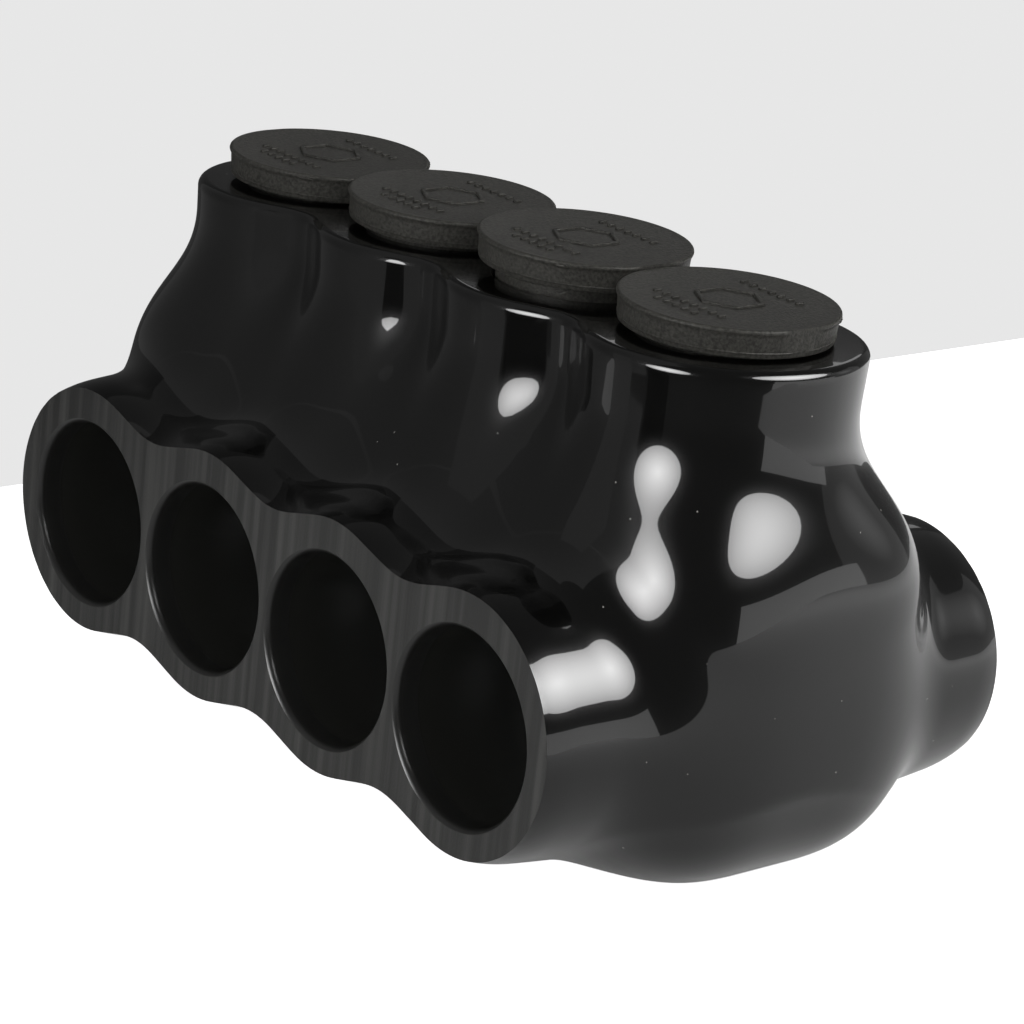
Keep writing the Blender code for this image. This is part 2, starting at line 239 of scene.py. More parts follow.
def settle(bm, rounds):
    """Relaxes a mesh and draws its corners onto the moulded skin, several times over."""
    for _ in range(rounds):
        bmesh.ops.smooth_vert(
            bm, verts=bm.verts, factor=0.5, use_axis_x=True, use_axis_y=True, use_axis_z=True
        )
        points = np.array([corner.co for corner in bm.verts], dtype=float)
        for _ in range(DRAWS):
            slope = skin_slope(points)
            steepness = np.maximum((slope**2).sum(axis=1), LEAST_STEEPNESS)
            points -= (skin_distance(points) / steepness)[:, None] * slope
        for corner, point in zip(bm.verts, points):
            corner.co = point


# %% [markdown]
# The cage starts as a box sliced by planes. Rows of spouts and turrets are pushed out of its faces, past
# the places where the real cover is sawn off, so that the cuts come out clean.

# %% The cage
def sliced_box(low, high):
    """A box cut by planes into faces about one cell wide."""
    bm = bmesh.new()
    bmesh.ops.create_cube(bm, size=1)
    bmesh.ops.scale(bm, verts=bm.verts, vec=Vector(high) - Vector(low))
    bmesh.ops.translate(bm, verts=bm.verts, vec=(Vector(low) + Vector(high)) / 2)
    for axis in range(3):
        normal = Vector((0, 0, 0))
        normal[axis] = 1
        length = high[axis] - low[axis]
        count = max(1, round(length / SKIN_CELL))
        for number in range(1, count):
            geometry = bm.verts[:] + bm.edges[:] + bm.faces[:]
            place = normal * (low[axis] + length * number / count)
            bmesh.ops.bisect_plane(bm, geom=geometry, plane_co=place, plane_no=normal)
    return bm


def push_out(bm, chosen, direction, length):
    """Extrudes the chosen faces a length, in steps about one cell long."""
    faces = [face for face in bm.faces if chosen(face)]
    count = max(1, round(length / SKIN_CELL))
    for _ in range(count):
        grown = bmesh.ops.extrude_face_region(bm, geom=faces)["geom"]
        bmesh.ops.delete(bm, geom=faces, context="FACES")
        corners = [item for item in grown if isinstance(item, bmesh.types.BMVert)]
        faces = [item for item in grown if isinstance(item, bmesh.types.BMFace)]
        bmesh.ops.translate(bm, verts=corners, vec=Vector(direction) * length / count)


def cover_cage():
    """A box with its rows of spouts and turrets pushed out."""
    bm = sliced_box(
        (-BODY_HALF_LENGTH, -BODY_HALF_DEPTH, -FOOT_TRIM),
        (BODY_HALF_LENGTH, BODY_HALF_DEPTH, BODY_HEIGHT),
    )
    for side in (-1, 1):
        push_out(
            bm,
            lambda face: face.normal.y * side > 0.9
            and abs(face.calc_center_median().z - PORT_AXIS_Z) < SPOUT_HALF_HEIGHT,
            (0, side, 0),
            COVER_HALF_DEPTH + SKIN_CELL - BODY_HALF_DEPTH,
        )
    push_out(
        bm,
        lambda face: face.normal.z > 0.9
        and face.calc_center_median().z > BODY_HEIGHT - SKIN_CELL / 2
        and abs(face.calc_center_median().y) < TURRET_RADIUS,
        (0, 0, 1),
        TURRET_TOP_Z + SKIN_CELL - BODY_HEIGHT,
    )
    return bm


# %% [markdown]
# The real cover is moulded longer than it needs to be and sawn to length at the spouts, which is why the
# glossy skin stops at a sharp, dull edge there. The cuts here are planes too. The turrets' tops are cut
# along a slightly sloping plane, and their edge is rounded by insetting and raising the flat face again
# and again, each time a little further in and a little less far up.

# %% Cutting and rounding the skin
SKIN, SAWN, BORE, DEEP = range(4)
SETTLE_ROUNDS = (6, 6, 3, 2)
EDGE_STEPS = 8
RIM_WELD = 0.25 * MM


def saw(bm, place, normal, finish=SKIN):
    """Cuts off what lies beyond a plane, welds the rim's near corners, and closes the cut."""
    geometry = bm.verts[:] + bm.edges[:] + bm.faces[:]
    sawn = bmesh.ops.bisect_plane(
        bm, geom=geometry, plane_co=place, plane_no=normal, clear_outer=True
    )["geom_cut"]
    corners = [item for item in sawn if isinstance(item, bmesh.types.BMVert)]
    bmesh.ops.remove_doubles(bm, verts=corners, dist=RIM_WELD)
    rim = [edge for edge in bm.edges if edge.is_boundary]
    faces = bmesh.ops.edgeloop_fill(bm, edges=rim)["faces"]
    for face in faces:
        face.material_index = finish
    return faces


def round_over(bm, face, radius):
    """Gives a flat face a rounded rim, by insetting and raising it round a quarter circle."""
    angles = np.radians(np.linspace(0, 90, EDGE_STEPS + 1))
    for before, after in zip(angles, angles[1:]):
        bmesh.ops.inset_region(
            bm,
            faces=face,
            thickness=radius * (math.cos(before) - math.cos(after)),
            depth=radius * (math.sin(after) - math.sin(before)),
            use_even_offset=True,
            use_boundary=True,
        )


def moulded_skin():
    """The cover's outside, from the cage to the sawn and rounded skin."""
    bm = cover_cage()
    for rounds in SETTLE_ROUNDS[:-1]:
        settle(bm, rounds)
        bmesh.ops.subdivide_edges(bm, edges=bm.edges, cuts=1, use_grid_fill=True)
    settle(bm, SETTLE_ROUNDS[-1])
    for side in (-1, 1):
        saw(bm, (0, side * COVER_HALF_DEPTH, 0), (0, side, 0), SAWN)
    saw(bm, (0, 0, 0), (0, 0, -1))
    top = saw(bm, (0, 0, TURRET_TOP_Z - TURRET_EDGE), (-TURRET_TOP_SLOPE, 0, 1))
    round_over(bm, top, TURRET_EDGE)
    return bm


# %% [markdown]
# ## Tools for every piece
#
# Every piece is first a bmesh and then an object at the origin, with its place in its mesh. Round faces are
# shaded smooth, and edges sharper than a crease angle stay crisp. Holes are cut with a stack of Boolean
# modifiers, one for each cutter, which leaves clean edges. The result is kept as the piece's mesh.

# %% Making and cutting objects
def new_object(name, bm, materials, crease_angle=35):
    """Makes an object at the origin of a bmesh, smooth where it is round."""
    bmesh.ops.recalc_face_normals(bm, faces=bm.faces)
    mesh = bpy.data.meshes.new(name)
    bm.to_mesh(mesh)
    bm.free()
    for finish in materials:
        mesh.materials.append(finish)
    made = bpy.data.objects.new(name, mesh)
    bpy.context.scene.collection.objects.link(made)
    shade(made, crease_angle)
    return made


def shade(made, crease_angle=35):
    """Shades an object smooth, with its creases kept sharp."""
    made.data.shade_smooth()
    made.data.set_sharp_from_angle(angle=math.radians(crease_angle))


def cut_with(target, cutters, crease_angle=35):
    """Cuts the cutters out of the target, keeps the result as its mesh and removes them."""
    for cutter in cutters:
        step = target.modifiers.new(cutter.name, "BOOLEAN")
        step.operation = "DIFFERENCE"
        step.object = cutter
    graph = bpy.context.evaluated_depsgraph_get()
    mesh = bpy.data.meshes.new_from_object(target.evaluated_get(graph))
    target.modifiers.clear()
    target.data = mesh
    for cutter in cutters:
        bpy.data.objects.remove(cutter)
    shade(target, crease_angle)


def dressed(made, node, body):
    """Lets a piece take its solid's place and move with it."""
    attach(made, body)
    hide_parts(node)
    print(node, "now has", len(made.data.polygons), "faces")


# %% [markdown]
# Most shapes here are turned: the plugs, and all that is bored or drilled. A profile is drawn as a few
# points and arcs and spun round an axis. The bar and the small marks are boxes with bevelled edges.

# %% Turned and boxed shapes
def arc(centre, radius, start, end, steps=6):
    """Points round part of a circle, as (radius, height), from one angle to another in degrees."""
    angles = np.radians(np.linspace(start, end, steps + 1))
    return [(centre[0] + radius * math.cos(a), centre[1] + radius * math.sin(a)) for a in angles]


def turned(profile, sides, place=(0, 0, 0), axis="Z", finish=0):
    """A bmesh of a profile of (radius, height) points, from axis to axis, spun round."""
    bm = bmesh.new()
    corners = [bm.verts.new((radius, 0, height)) for radius, height in profile]
    edges = [bm.edges.new(pair) for pair in zip(corners, corners[1:])]
    bmesh.ops.spin(
        bm,
        geom=corners + edges,
        axis=(0, 0, 1),
        cent=(0, 0, 0),
        angle=math.tau,
        steps=sides,
        use_merge=True,
    )
    bmesh.ops.remove_doubles(bm, verts=bm.verts, dist=0.001 * MM)
    if axis == "Y":
        bmesh.ops.rotate(bm, verts=bm.verts, matrix=Matrix.Rotation(math.pi / 2, 3, "X"))
    bmesh.ops.translate(bm, verts=bm.verts, vec=place)
    for face in bm.faces:
        face.material_index = finish
    return bm


def boxed(low, high, edge, finish=0):
    """A bmesh of a box with rounded edges."""
    bm = bmesh.new()
    bmesh.ops.create_cube(bm, size=1)
    bmesh.ops.scale(bm, verts=bm.verts, vec=Vector(high) - Vector(low))
    bmesh.ops.translate(bm, verts=bm.verts, vec=(Vector(low) + Vector(high)) / 2)
    bmesh.ops.bevel(
        bm,
        geom=bm.edges[:],
        offset=edge,
        offset_type="OFFSET",
        segments=3,
        profile=0.5,
        affect="EDGES",
        material=-1,
    )
    for face in bm.faces:
        face.material_index = finish
    return bm


# %% [markdown]
# ## Finishes
#
# Each finish is mixed from noise in the object's own space, so it needs no pictures. The moulded vinyl is
# nearly black and gets a clear, sharp coat over a duller base, which gives each lamp's reflection a soft
# halo. A few specks of dust lie on it. The sawn vinyl is dull, with the saw's streaks running upwards. The
# mouths of the sleeves are half glossy, with fine lines round them, and deeper in they are dull.

# %% Shader helpers
def node(tree, kind, **values):
    """Adds a shader node. Values set its properties, or its inputs where it has no such property."""
    made = tree.nodes.new(kind)
    for key, value in values.items():
        if hasattr(made, key):
            setattr(made, key, value)
        else:
            made.inputs[key.replace("_", " ")].default_value = value
    return made


def principled(name, colour, roughness, metallic=0.0):
    """A new material, with its node tree and its shader."""
    made = bpy.data.materials.new(name)
    made.use_nodes = True
    shader = made.node_tree.nodes["Principled BSDF"]
    shader.inputs["Base Color"].default_value = (*colour, 1.0)
    shader.inputs["Roughness"].default_value = roughness
    shader.inputs["Metallic"].default_value = metallic
    return made, made.node_tree, shader


def object_space(tree, stretch=(1, 1, 1)):
    """Places in the object's own space, in metres, stretched along the axes."""
    place = node(tree, "ShaderNodeTexCoord")
    stretched = node(tree, "ShaderNodeMapping", Scale=stretch)
    tree.links.new(place.outputs["Object"], stretched.inputs["Vector"])
    return stretched.outputs["Vector"]


def noise(tree, scale, stretch=(1, 1, 1), detail=3.0):
    """Noise between 0 and 1 with about this many features per metre."""
    made = node(tree, "ShaderNodeTexNoise", Scale=scale, Detail=detail)
    tree.links.new(object_space(tree, stretch), made.inputs["Vector"])
    return made.outputs["Fac"]


def ranged(tree, value, span, result):
    """Maps one range of values onto another and clamps it there."""
    made = node(
        tree,
        "ShaderNodeMapRange",
        From_Min=span[0],
        From_Max=span[1],
        To_Min=result[0],
        To_Max=result[1],
    )
    tree.links.new(value, made.inputs["Value"])
    return made.outputs["Result"]


def raised(tree, shader, height, distance, under=None):
    """Makes the surface look raised by a height map, over another such look if there is one."""
    made = node(tree, "ShaderNodeBump", Distance=distance)
    tree.links.new(height, made.inputs["Height"])
    if under:
        tree.links.new(under, made.inputs["Normal"])
    tree.links.new(made.outputs["Normal"], shader.inputs["Normal"])
    return made.outputs["Normal"]


def tinted(tree, shader, share, dark, light):
    """Mixes the base colour between two colours by a share."""
    made = node(tree, "ShaderNodeMix", data_type="RGBA")
    tree.links.new(share, made.inputs[0])
    made.inputs[6].default_value = (*dark, 1.0)
    made.inputs[7].default_value = (*light, 1.0)
    tree.links.new(made.outputs[2], shader.inputs["Base Color"])


# %% Glossy, sawn and bored vinyl
VINYL_BLACK = (0.0018, 0.0018, 0.0016)
DUST_GREY = (0.35, 0.34, 0.32)
SAWN_GREY = (0.035, 0.035, 0.034)
SAWN_DARK = (0.016, 0.016, 0.015)
SAWN_LIGHT = (0.056, 0.056, 0.053)


def glossy_vinyl():
    made, tree, shader = principled("glossy_vinyl", VINYL_BLACK, 0.24)
    shader.inputs["Specular IOR Level"].default_value = 0.12
    shader.inputs["Coat Weight"].default_value = 1.0
    shader.inputs["Coat Roughness"].default_value = 0.03
    dust = node(tree, "ShaderNodeTexVoronoi", Scale=260.0)
    tree.links.new(object_space(tree), dust.inputs["Vector"])
    specks = ranged(tree, dust.outputs["Distance"], (0.02, 0.035), (1, 0))
    tinted(tree, shader, specks, VINYL_BLACK, DUST_GREY)
    raised(tree, shader, noise(tree, 90, detail=1), 0.004 * MM)
    return made


def sawn_vinyl():
    made, tree, shader = principled("sawn_vinyl", SAWN_GREY, 0.55)
    streaks = noise(tree, 700, (1, 1, 0.015), detail=8)
    tinted(tree, shader, ranged(tree, streaks, (0.42, 0.72), (0, 1)), SAWN_DARK, SAWN_LIGHT)
    under = raised(tree, shader, streaks, 0.05 * MM)
    raised(tree, shader, noise(tree, 5000), 0.03 * MM, under)
    return made


def bored_vinyl():
    made, tree, shader = principled("bored_vinyl", (0.022, 0.022, 0.021), 0.3)
    raised(tree, shader, noise(tree, 2500, (0.02, 1, 0.02)), 0.01 * MM)
    return made


def dull_vinyl():
    made, tree, shader = principled("dull_vinyl", (0.02, 0.02, 0.018), 0.35)
    shader.inputs["Specular IOR Level"].default_value = 0.3
    raised(tree, shader, noise(tree, 3000), 0.004 * MM)
    return made


# %% [markdown]
# The plugs are moulded too, in a grained mould, so they are matt. Their colour is painted a shade lighter on
# the grain's high spots and darker in its hollows, painted light and shade that follow the grain's height.
# The bar is drawn aluminium, with lines along its length, and the screws are turned, with lines round them.

# %% Matt vinyl and aluminium
PLUG_GREY = (0.05, 0.048, 0.044)
GRAIN_PAINTED_SHADE = (0.034, 0.0335, 0.03)
GRAIN_PAINTED_LIGHT = (0.07, 0.068, 0.061)
DRAWN_GREY = (0.72, 0.73, 0.74)
TURNED_GREY = (0.62, 0.63, 0.64)


def matt_vinyl():
    made, tree, shader = principled("matt_vinyl", PLUG_GREY, 0.45)
    grain = noise(tree, 2600, detail=5)
    # Painted light and shade: the tint follows the grain's height, lighter on its high spots and darker in
    # its hollows.
    tinted(tree, shader, ranged(tree, grain, (0.35, 0.65), (0, 1)), GRAIN_PAINTED_SHADE, GRAIN_PAINTED_LIGHT)
    shader.inputs["Specular IOR Level"].default_value = 0.15
    raised(tree, shader, grain, 0.08 * MM)
    return made


def drawn_aluminium():
    made, tree, shader = principled("drawn_aluminium", DRAWN_GREY, 0.32, 1.0)
    drawn = noise(tree, 1500, (0.02, 1, 1))
    tree.links.new(ranged(tree, drawn, (0.3, 0.7), (0.25, 0.45)), shader.inputs["Roughness"])
    raised(tree, shader, drawn, 0.006 * MM)
    return made


def turned_aluminium():
    made, tree, shader = principled("turned_aluminium", TURNED_GREY, 0.22, 1.0)
    worn = noise(tree, 700)
    tree.links.new(ranged(tree, worn, (0.35, 0.7), (0.18, 0.34)), shader.inputs["Roughness"])
    raised(tree, shader, noise(tree, 3000, (0.03, 0.03, 1)), 0.004 * MM)
    return made


COVER_FINISHES = (glossy_vinyl(), sawn_vinyl(), bored_vinyl(), dull_vinyl())
PLUG_FINISH, BAR_FINISH, SCREW_FINISH = matt_vinyl(), drawn_aluminium(), turned_aluminium()
print("finishes:", [finish.name for finish in (*COVER_FINISHES, PLUG_FINISH, BAR_FINISH, SCREW_FINISH)])

# %% [markdown]
# ## The cover
#
# The moulded skin is hollowed by three kinds of core. A sleeve passes right through at each port: a rounded
# lip, a few fine lines left by the core's turning, then a plain bore as far as the bar. The bar sits in a
# close-fitting cavity, and a socket comes down to it from the top of each turret.

# %% Cores for the cover
MOUTH_RADIUS = 11.6 * MM
MOUTH_DEPTH = 3.4 * MM
MOUTH_EDGE = 1.1 * MM
MOUTH_TURN = 58
SLEEVE_RADIUS = 11.5 * MM
SLEEVE_TAPER = 0.3 * MM
LINES = 6
LINE_PITCH = 0.36 * MM
LINE_DEPTH = 0.04 * MM
BEYOND = 0.3 * MM
SOCKET_RADIUS = 10.6 * MM
SOCKET_EDGE = 0.4 * MM
BAR_GAP = 0.3 * MM
BAR_EDGE = 1.0 * MM
BORE_SIDES = 128


def sleeve_core(port_x):
    """What one port takes out of the cover, the same from the front and from the back."""
    turn = math.radians(MOUTH_TURN)
    sunk = MOUTH_EDGE * (1 - math.sin(turn))
    lip = arc((MOUTH_RADIUS + MOUTH_EDGE, MOUTH_EDGE - sunk), MOUTH_EDGE, 180 + MOUTH_TURN, 180, 8)
    outside = lip[0][0] + BEYOND * math.tan(turn)
    inwards = [(0, -BEYOND), (outside, -BEYOND), *lip]
    for line in range(LINES):
        start = MOUTH_EDGE + line * LINE_PITCH
        inwards.append((MOUTH_RADIUS, start))
        inwards.append((MOUTH_RADIUS - LINE_DEPTH, start + LINE_PITCH / 2))
    inwards += [(MOUTH_RADIUS, MOUTH_DEPTH), (SLEEVE_RADIUS, MOUTH_DEPTH + SLEEVE_TAPER)]
    front = [(radius, depth - COVER_HALF_DEPTH) for radius, depth in inwards]
    back = [(radius, -place) for radius, place in reversed(front)]
    bm = turned(front + back, BORE_SIDES, (port_x, 0, PORT_AXIS_Z), "Y", BORE)
    for face in bm.faces:
        if abs(face.calc_center_median().y) < COVER_HALF_DEPTH - MOUTH_DEPTH:
            face.material_index = DEEP
    return new_object("sleeve_core", bm, COVER_FINISHES)


def socket_core(port_x):
    """What one plug and its screw take out of the cover, widening at the turret's top."""
    top = TURRET_TOP_Z + TURRET_TOP_SLOPE * port_x
    profile = [
        (0, BAR_HIGH.z - BAR_EDGE),
        (SOCKET_RADIUS, BAR_HIGH.z - BAR_EDGE),
        (SOCKET_RADIUS, top - SOCKET_EDGE),
        (SOCKET_RADIUS + SOCKET_EDGE + SKIN_CELL, top + SKIN_CELL),
        (0, top + SKIN_CELL),
    ]
    bm = turned(profile, BORE_SIDES, (port_x, SCREW_ROW_Y, 0), finish=BORE)
    return new_object("socket_core", bm, COVER_FINISHES)


def bar_cavity():
    gap = Vector((BAR_GAP, BAR_GAP, BAR_GAP))
    bm = boxed(BAR_LOW - gap, BAR_HIGH + gap, BAR_EDGE, BORE)
    return new_object("bar_cavity", bm, COVER_FINISHES)


# %% The hollowed cover
cover = new_object("cover", moulded_skin(), COVER_FINISHES)
cores = [bar_cavity()]
cores += [sleeve_core(port_x) for port_x in PORT_XS]
cores += [socket_core(port_x) for port_x in PORT_XS]
cut_with(cover, cores)
dressed(cover, "insulating_cover", "root")

# %% [markdown]
# ## The bar
#
# One length of drawn aluminium, with a cable port bored across it at each place and a tapped hole down to
# each port. The thread is one helix: each corner of a round rod moves in or out by where it stands on the
# turn. The same rod, a little fatter, cuts the thread of the hole.

# %% A threaded rod
THREAD_PITCH = 1.5 * MM
THREAD_DEPTH = 0.55 * MM
THREAD_SIDES = 72
THREAD_STEPS = 8


def threaded_rod(radius, low, high, end_radii, end_slope=1.0):
    """A rod with a helical thread that runs out into a taper at each end."""
    bm = bmesh.new()
    rows = []
    count = round((high - low) / THREAD_PITCH * THREAD_STEPS)
    for height in np.linspace(low, high, count + 1):
        limit = min(
            end_radii[0] + (height - low) * end_slope,
            end_radii[1] + (high - height) * end_slope,
        )
        row = []
        for side in range(THREAD_SIDES):
            turn = (height / THREAD_PITCH - side / THREAD_SIDES) % 1
            reach = min(radius - THREAD_DEPTH * (1 - abs(2 * turn - 1)), limit)
            angle = math.tau * side / THREAD_SIDES
            row.append(bm.verts.new((reach * math.cos(angle), reach * math.sin(angle), height)))
        rows.append(row)
    for lower, upper in zip(rows, rows[1:]):
        for side in range(THREAD_SIDES):
            after = (side + 1) % THREAD_SIDES
            bm.faces.new((lower[side], lower[after], upper[after], upper[side]))
    bm.faces.new(reversed(rows[0]))
    bm.faces.new(rows[-1])
    return bm


# %% [markdown]
# The ports are bored straight through, so a spun profile cuts each one, chamfers and all. Each tapped hole
# is cut by the threaded rod and then countersunk by a cone.

# %% The bar and its holes
FINE_CREASE = 28
WIRE_PORT_RADIUS = 9.25 * MM
HOLE_CHAMFER = 0.8 * MM
SCREW_RADIUS = 8.0 * MM
THREAD_GAP = 0.15 * MM


def wire_port_core(port_x):
    """A hole right through the bar, chamfered at both mouths."""
    beyond = BAR_HIGH.y + HOLE_CHAMFER
    inside = BAR_HIGH.y - HOLE_CHAMFER
    flared = WIRE_PORT_RADIUS + 2 * HOLE_CHAMFER
    profile = [
        (0, -beyond),
        (flared, -beyond),
        (WIRE_PORT_RADIUS, -inside),
        (WIRE_PORT_RADIUS, inside),
        (flared, beyond),
        (0, beyond),
    ]
    bm = turned(profile, BORE_SIDES, (port_x, 0, PORT_AXIS_Z), "Y")
    return new_object("wire_port_core", bm, (BAR_FINISH,))


def tapped_core(port_x):
    """The rod that leaves a tapped hole, from the bar's top down into a wire port."""
    radius = SCREW_RADIUS + THREAD_GAP + THREAD_DEPTH
    low, high = PORT_AXIS_Z + WIRE_PORT_RADIUS / 2, BAR_HIGH.z + HOLE_CHAMFER
    bm = threaded_rod(radius, low, high, (radius, radius))
    bmesh.ops.translate(bm, verts=bm.verts, vec=(port_x, SCREW_ROW_Y, 0))
    return new_object("tapped_core", bm, (BAR_FINISH,))


def countersink(port_x):
    """A cone that chamfers a tapped hole's edge."""
    wide = SCREW_RADIUS + THREAD_GAP + THREAD_DEPTH + HOLE_CHAMFER
    profile = [(0, -wide), (wide, 0), (wide, HOLE_CHAMFER), (0, HOLE_CHAMFER)]
    bm = turned(profile, BORE_SIDES, (port_x, SCREW_ROW_Y, BAR_HIGH.z))
    return new_object("countersink", bm, (BAR_FINISH,))


bar = new_object("bar", boxed(BAR_LOW, BAR_HIGH, BAR_EDGE), (BAR_FINISH,))
cores = [wire_port_core(port_x) for port_x in PORT_XS]
cores += [tapped_core(port_x) for port_x in PORT_XS]
cores += [countersink(port_x) for port_x in PORT_XS]
cut_with(bar, cores, FINE_CREASE)
dressed(bar, "connector_bar", "root")

# %% [markdown]
# ## Set screws
#
# Each screw is the threaded rod with a blunt tip. A hexagon prism, a drill's point and a cone cut the socket
# for the wrench, the hole's bottom and the chamfered mouth, as the real tools do.

# %% The set screws
HEX_ACROSS_FLATS = 8.0 * MM
HEX_DEPTH = 9.0 * MM
TIP_RADIUS = 5.2 * MM
TIP_SLOPE = 1.4
DRILL_GAP = 0.1 * MM
DRILL_POINT = 2.0 * MM
MOUTH_RISE = 0.2 * MM
HOLE_SIDES = 48


def hex_core(place):
    """The wrench socket: a hexagon with a chamfered mouth and a drill point at its bottom."""
    corner = HEX_ACROSS_FLATS / math.sqrt(3)
    hexagon = bmesh.new()
    bmesh.ops.create_cone(
        hexagon, cap_ends=True, segments=6, radius1=corner, radius2=corner, depth=2 * HEX_DEPTH
    )
    bmesh.ops.translate(hexagon, verts=hexagon.verts, vec=place)
    drilled = HEX_ACROSS_FLATS / 2 - DRILL_GAP
    point = [(0, -HEX_DEPTH - DRILL_POINT), (drilled, -HEX_DEPTH), (drilled, 0), (0, 0)]
    mouth = [(0, -corner), (corner + MOUTH_RISE, MOUTH_RISE), (0, MOUTH_RISE)]
    return [
        new_object("hexagon", hexagon, (SCREW_FINISH,)),
        new_object("point", turned(point, HOLE_SIDES, place), (SCREW_FINISH,)),
        new_object("mouth", turned(mouth, HOLE_SIDES, place), (SCREW_FINISH,)),
    ]


for port, port_x in enumerate(PORT_XS, 1):
    low, high = (corner.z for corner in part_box(f"set_screw_{port}"))
    bm = threaded_rod(SCREW_RADIUS, 0, high - low, (TIP_RADIUS, SCREW_RADIUS - HOLE_CHAMFER), TIP_SLOPE)
    bmesh.ops.translate(bm, verts=bm.verts, vec=(port_x, SCREW_ROW_Y, low))
    screw = new_object(f"screw_{port}", bm, (SCREW_FINISH,), FINE_CREASE)
    cut_with(screw, hex_core((port_x, SCREW_ROW_Y, high)), FINE_CREASE)
    dressed(screw, f"set_screw_{port}", f"screw_{port}")

# %% [markdown]
# ## Plugs
#
# Four soft plugs close the turrets. A head is a disc with a fine bead round its top and a faint seam low
# on its wall, where the mould's halves met. Below it a hollow skirt goes down into the socket. All of that
# is one turned profile.

# %% A plug's outline
BEAD_RADIUS = 0.35 * MM
BEAD_TURN = (115, -60)
TOP_SINK = 0.12 * MM
HEAD_OVERHANG = 0.25 * MM
HEAD_TAPER = 0.15 * MM
HEAD_EDGE = 0.2 * MM
SEAM_HEIGHT = 0.65 * MM
SEAM_SIZE = 0.1 * MM
SEAM_ROOT = 0.03 * MM
HEAD_SIDES = 144
SKIRT_LENGTH = 8.0 * MM
SKIRT_GAP = 0.3 * MM
SKIRT_RADIUS = SOCKET_RADIUS - SKIRT_GAP
SKIRT_WALL = 1.5 * MM
LEAD_IN = 0.8 * MM
TOP_WALL = 2.0 * MM
HOLLOW_EDGE = 0.5 * MM
HEAD_GAP = 0.3 * MM
HEAD_HALF_WIDTH = (PITCH - HEAD_GAP) / 2


def plug_profile(head_radius, head_height):
    """Half a section of a plug, from the middle of its top round to the middle of its hollow."""
    wall = head_radius - HEAD_OVERHANG
    foot = wall - HEAD_TAPER
    inside = SKIRT_RADIUS - SKIRT_WALL
    hollow = head_height - TOP_WALL
    top = head_height - TOP_SINK
    profile = [(0, top), (head_radius - 3 * BEAD_RADIUS, top)]
    profile += arc((head_radius - BEAD_RADIUS, head_height - BEAD_RADIUS), BEAD_RADIUS, *BEAD_TURN)
    profile.append((wall, head_height - 3 * BEAD_RADIUS))
    for side, out in ((1, SEAM_ROOT), (0, SEAM_SIZE), (-1, SEAM_ROOT)):
        profile.append((foot + out, SEAM_HEIGHT + side * SEAM_SIZE))
    profile += arc((foot - HEAD_EDGE, HEAD_EDGE), HEAD_EDGE, 0, -90, 3)
    profile += [
        (SKIRT_RADIUS, 0),
        (SKIRT_RADIUS, LEAD_IN - SKIRT_LENGTH),
        (SKIRT_RADIUS - LEAD_IN, -SKIRT_LENGTH),
        (inside, -SKIRT_LENGTH),
        (inside, hollow - HOLLOW_EDGE),
        (inside - HOLLOW_EDGE, hollow),
        (0, hollow),
    ]
    return profile


# %% [markdown]
# A raised hexagon on top says what lies below, and rows of short ribs give a thumb some grip. Each mark is
# a low box with bevelled edges, half sunk into the top.

# %% Marks on a plug's top
HEXAGON_RADIUS = 4.0 * MM
MARK_WIDTH = 0.5 * MM
MARK_HEIGHT = 0.3 * MM
RIB_ROWS = ((-8.2, 5), (-6.2, 8), (6.6, 7))
RIB_SPACING = 1.55 * MM
RIB_LENGTH = 1.1 * MM
MARK_EDGE = 0.1 * MM


def mark(length, place, angle):
    """A low raised bar with bevelled edges."""
    far_corner = Vector((length / 2, MARK_WIDTH / 2, MARK_HEIGHT))
    bm = boxed(-far_corner, far_corner, MARK_EDGE)
    bmesh.ops.rotate(bm, verts=bm.verts, matrix=Matrix.Rotation(angle, 3, "Z"))
    bmesh.ops.translate(bm, verts=bm.verts, vec=place)
    return bm


def top_marks():
    """A hexagon of six bars, and rows of short ribs before and behind it."""
    marks = []
    inner = HEXAGON_RADIUS * math.cos(math.radians(30))
    for side in range(6):
        angle = math.radians(60 * side)
        place = (inner * math.cos(angle), inner * math.sin(angle), 0)
        marks.append(mark(HEXAGON_RADIUS + MARK_WIDTH / 2, place, angle + math.pi / 2))
    for y, count in RIB_ROWS:
        for number in range(count):
            x = (number - (count - 1) / 2) * RIB_SPACING
            marks.append(mark(RIB_LENGTH, (x, y * MM, 0), math.radians(90)))
    return marks


# %% [markdown]
# Each plug was torn from the channels that filled its mould, which left a rough stub or two on the bead, at
# another place on each plug. Heads are wider than the ports' spacing, so neighbours press each other flat:
# each head is held within half the spacing to either side, less half of a small gap.

# %% The plugs
GATES = {1: (40, 150), 2: (95,), 3: (38,), 4: (128,)}
GATE_SIZE = (1.1 * MM, 0.4 * MM, 0.35 * MM)
GATE_INSET = 0.3 * MM
GATE_DROP = 0.5 * MM


def gate(head_radius, height, azimuth):
    """The torn-off stub where the mould was filled, on the bead at an angle from the front."""
    bm = bmesh.new()
    bmesh.ops.create_icosphere(bm, subdivisions=3, radius=1)
    for corner in bm.verts:
        corner.co *= 1 + 0.25 * math.sin(9 * corner.co.x) * math.cos(7 * corner.co.y + 5 * corner.co.z)
    bmesh.ops.scale(bm, verts=bm.verts, vec=GATE_SIZE)
    bmesh.ops.rotate(bm, verts=bm.verts, matrix=Matrix.Rotation(math.radians(azimuth), 3, "Z"))
    reach = head_radius - GATE_INSET
    a = math.radians(azimuth)
    place = (reach * math.sin(a), -reach * math.cos(a), height - GATE_DROP)
    bmesh.ops.translate(bm, verts=bm.verts, vec=place)
    return bm


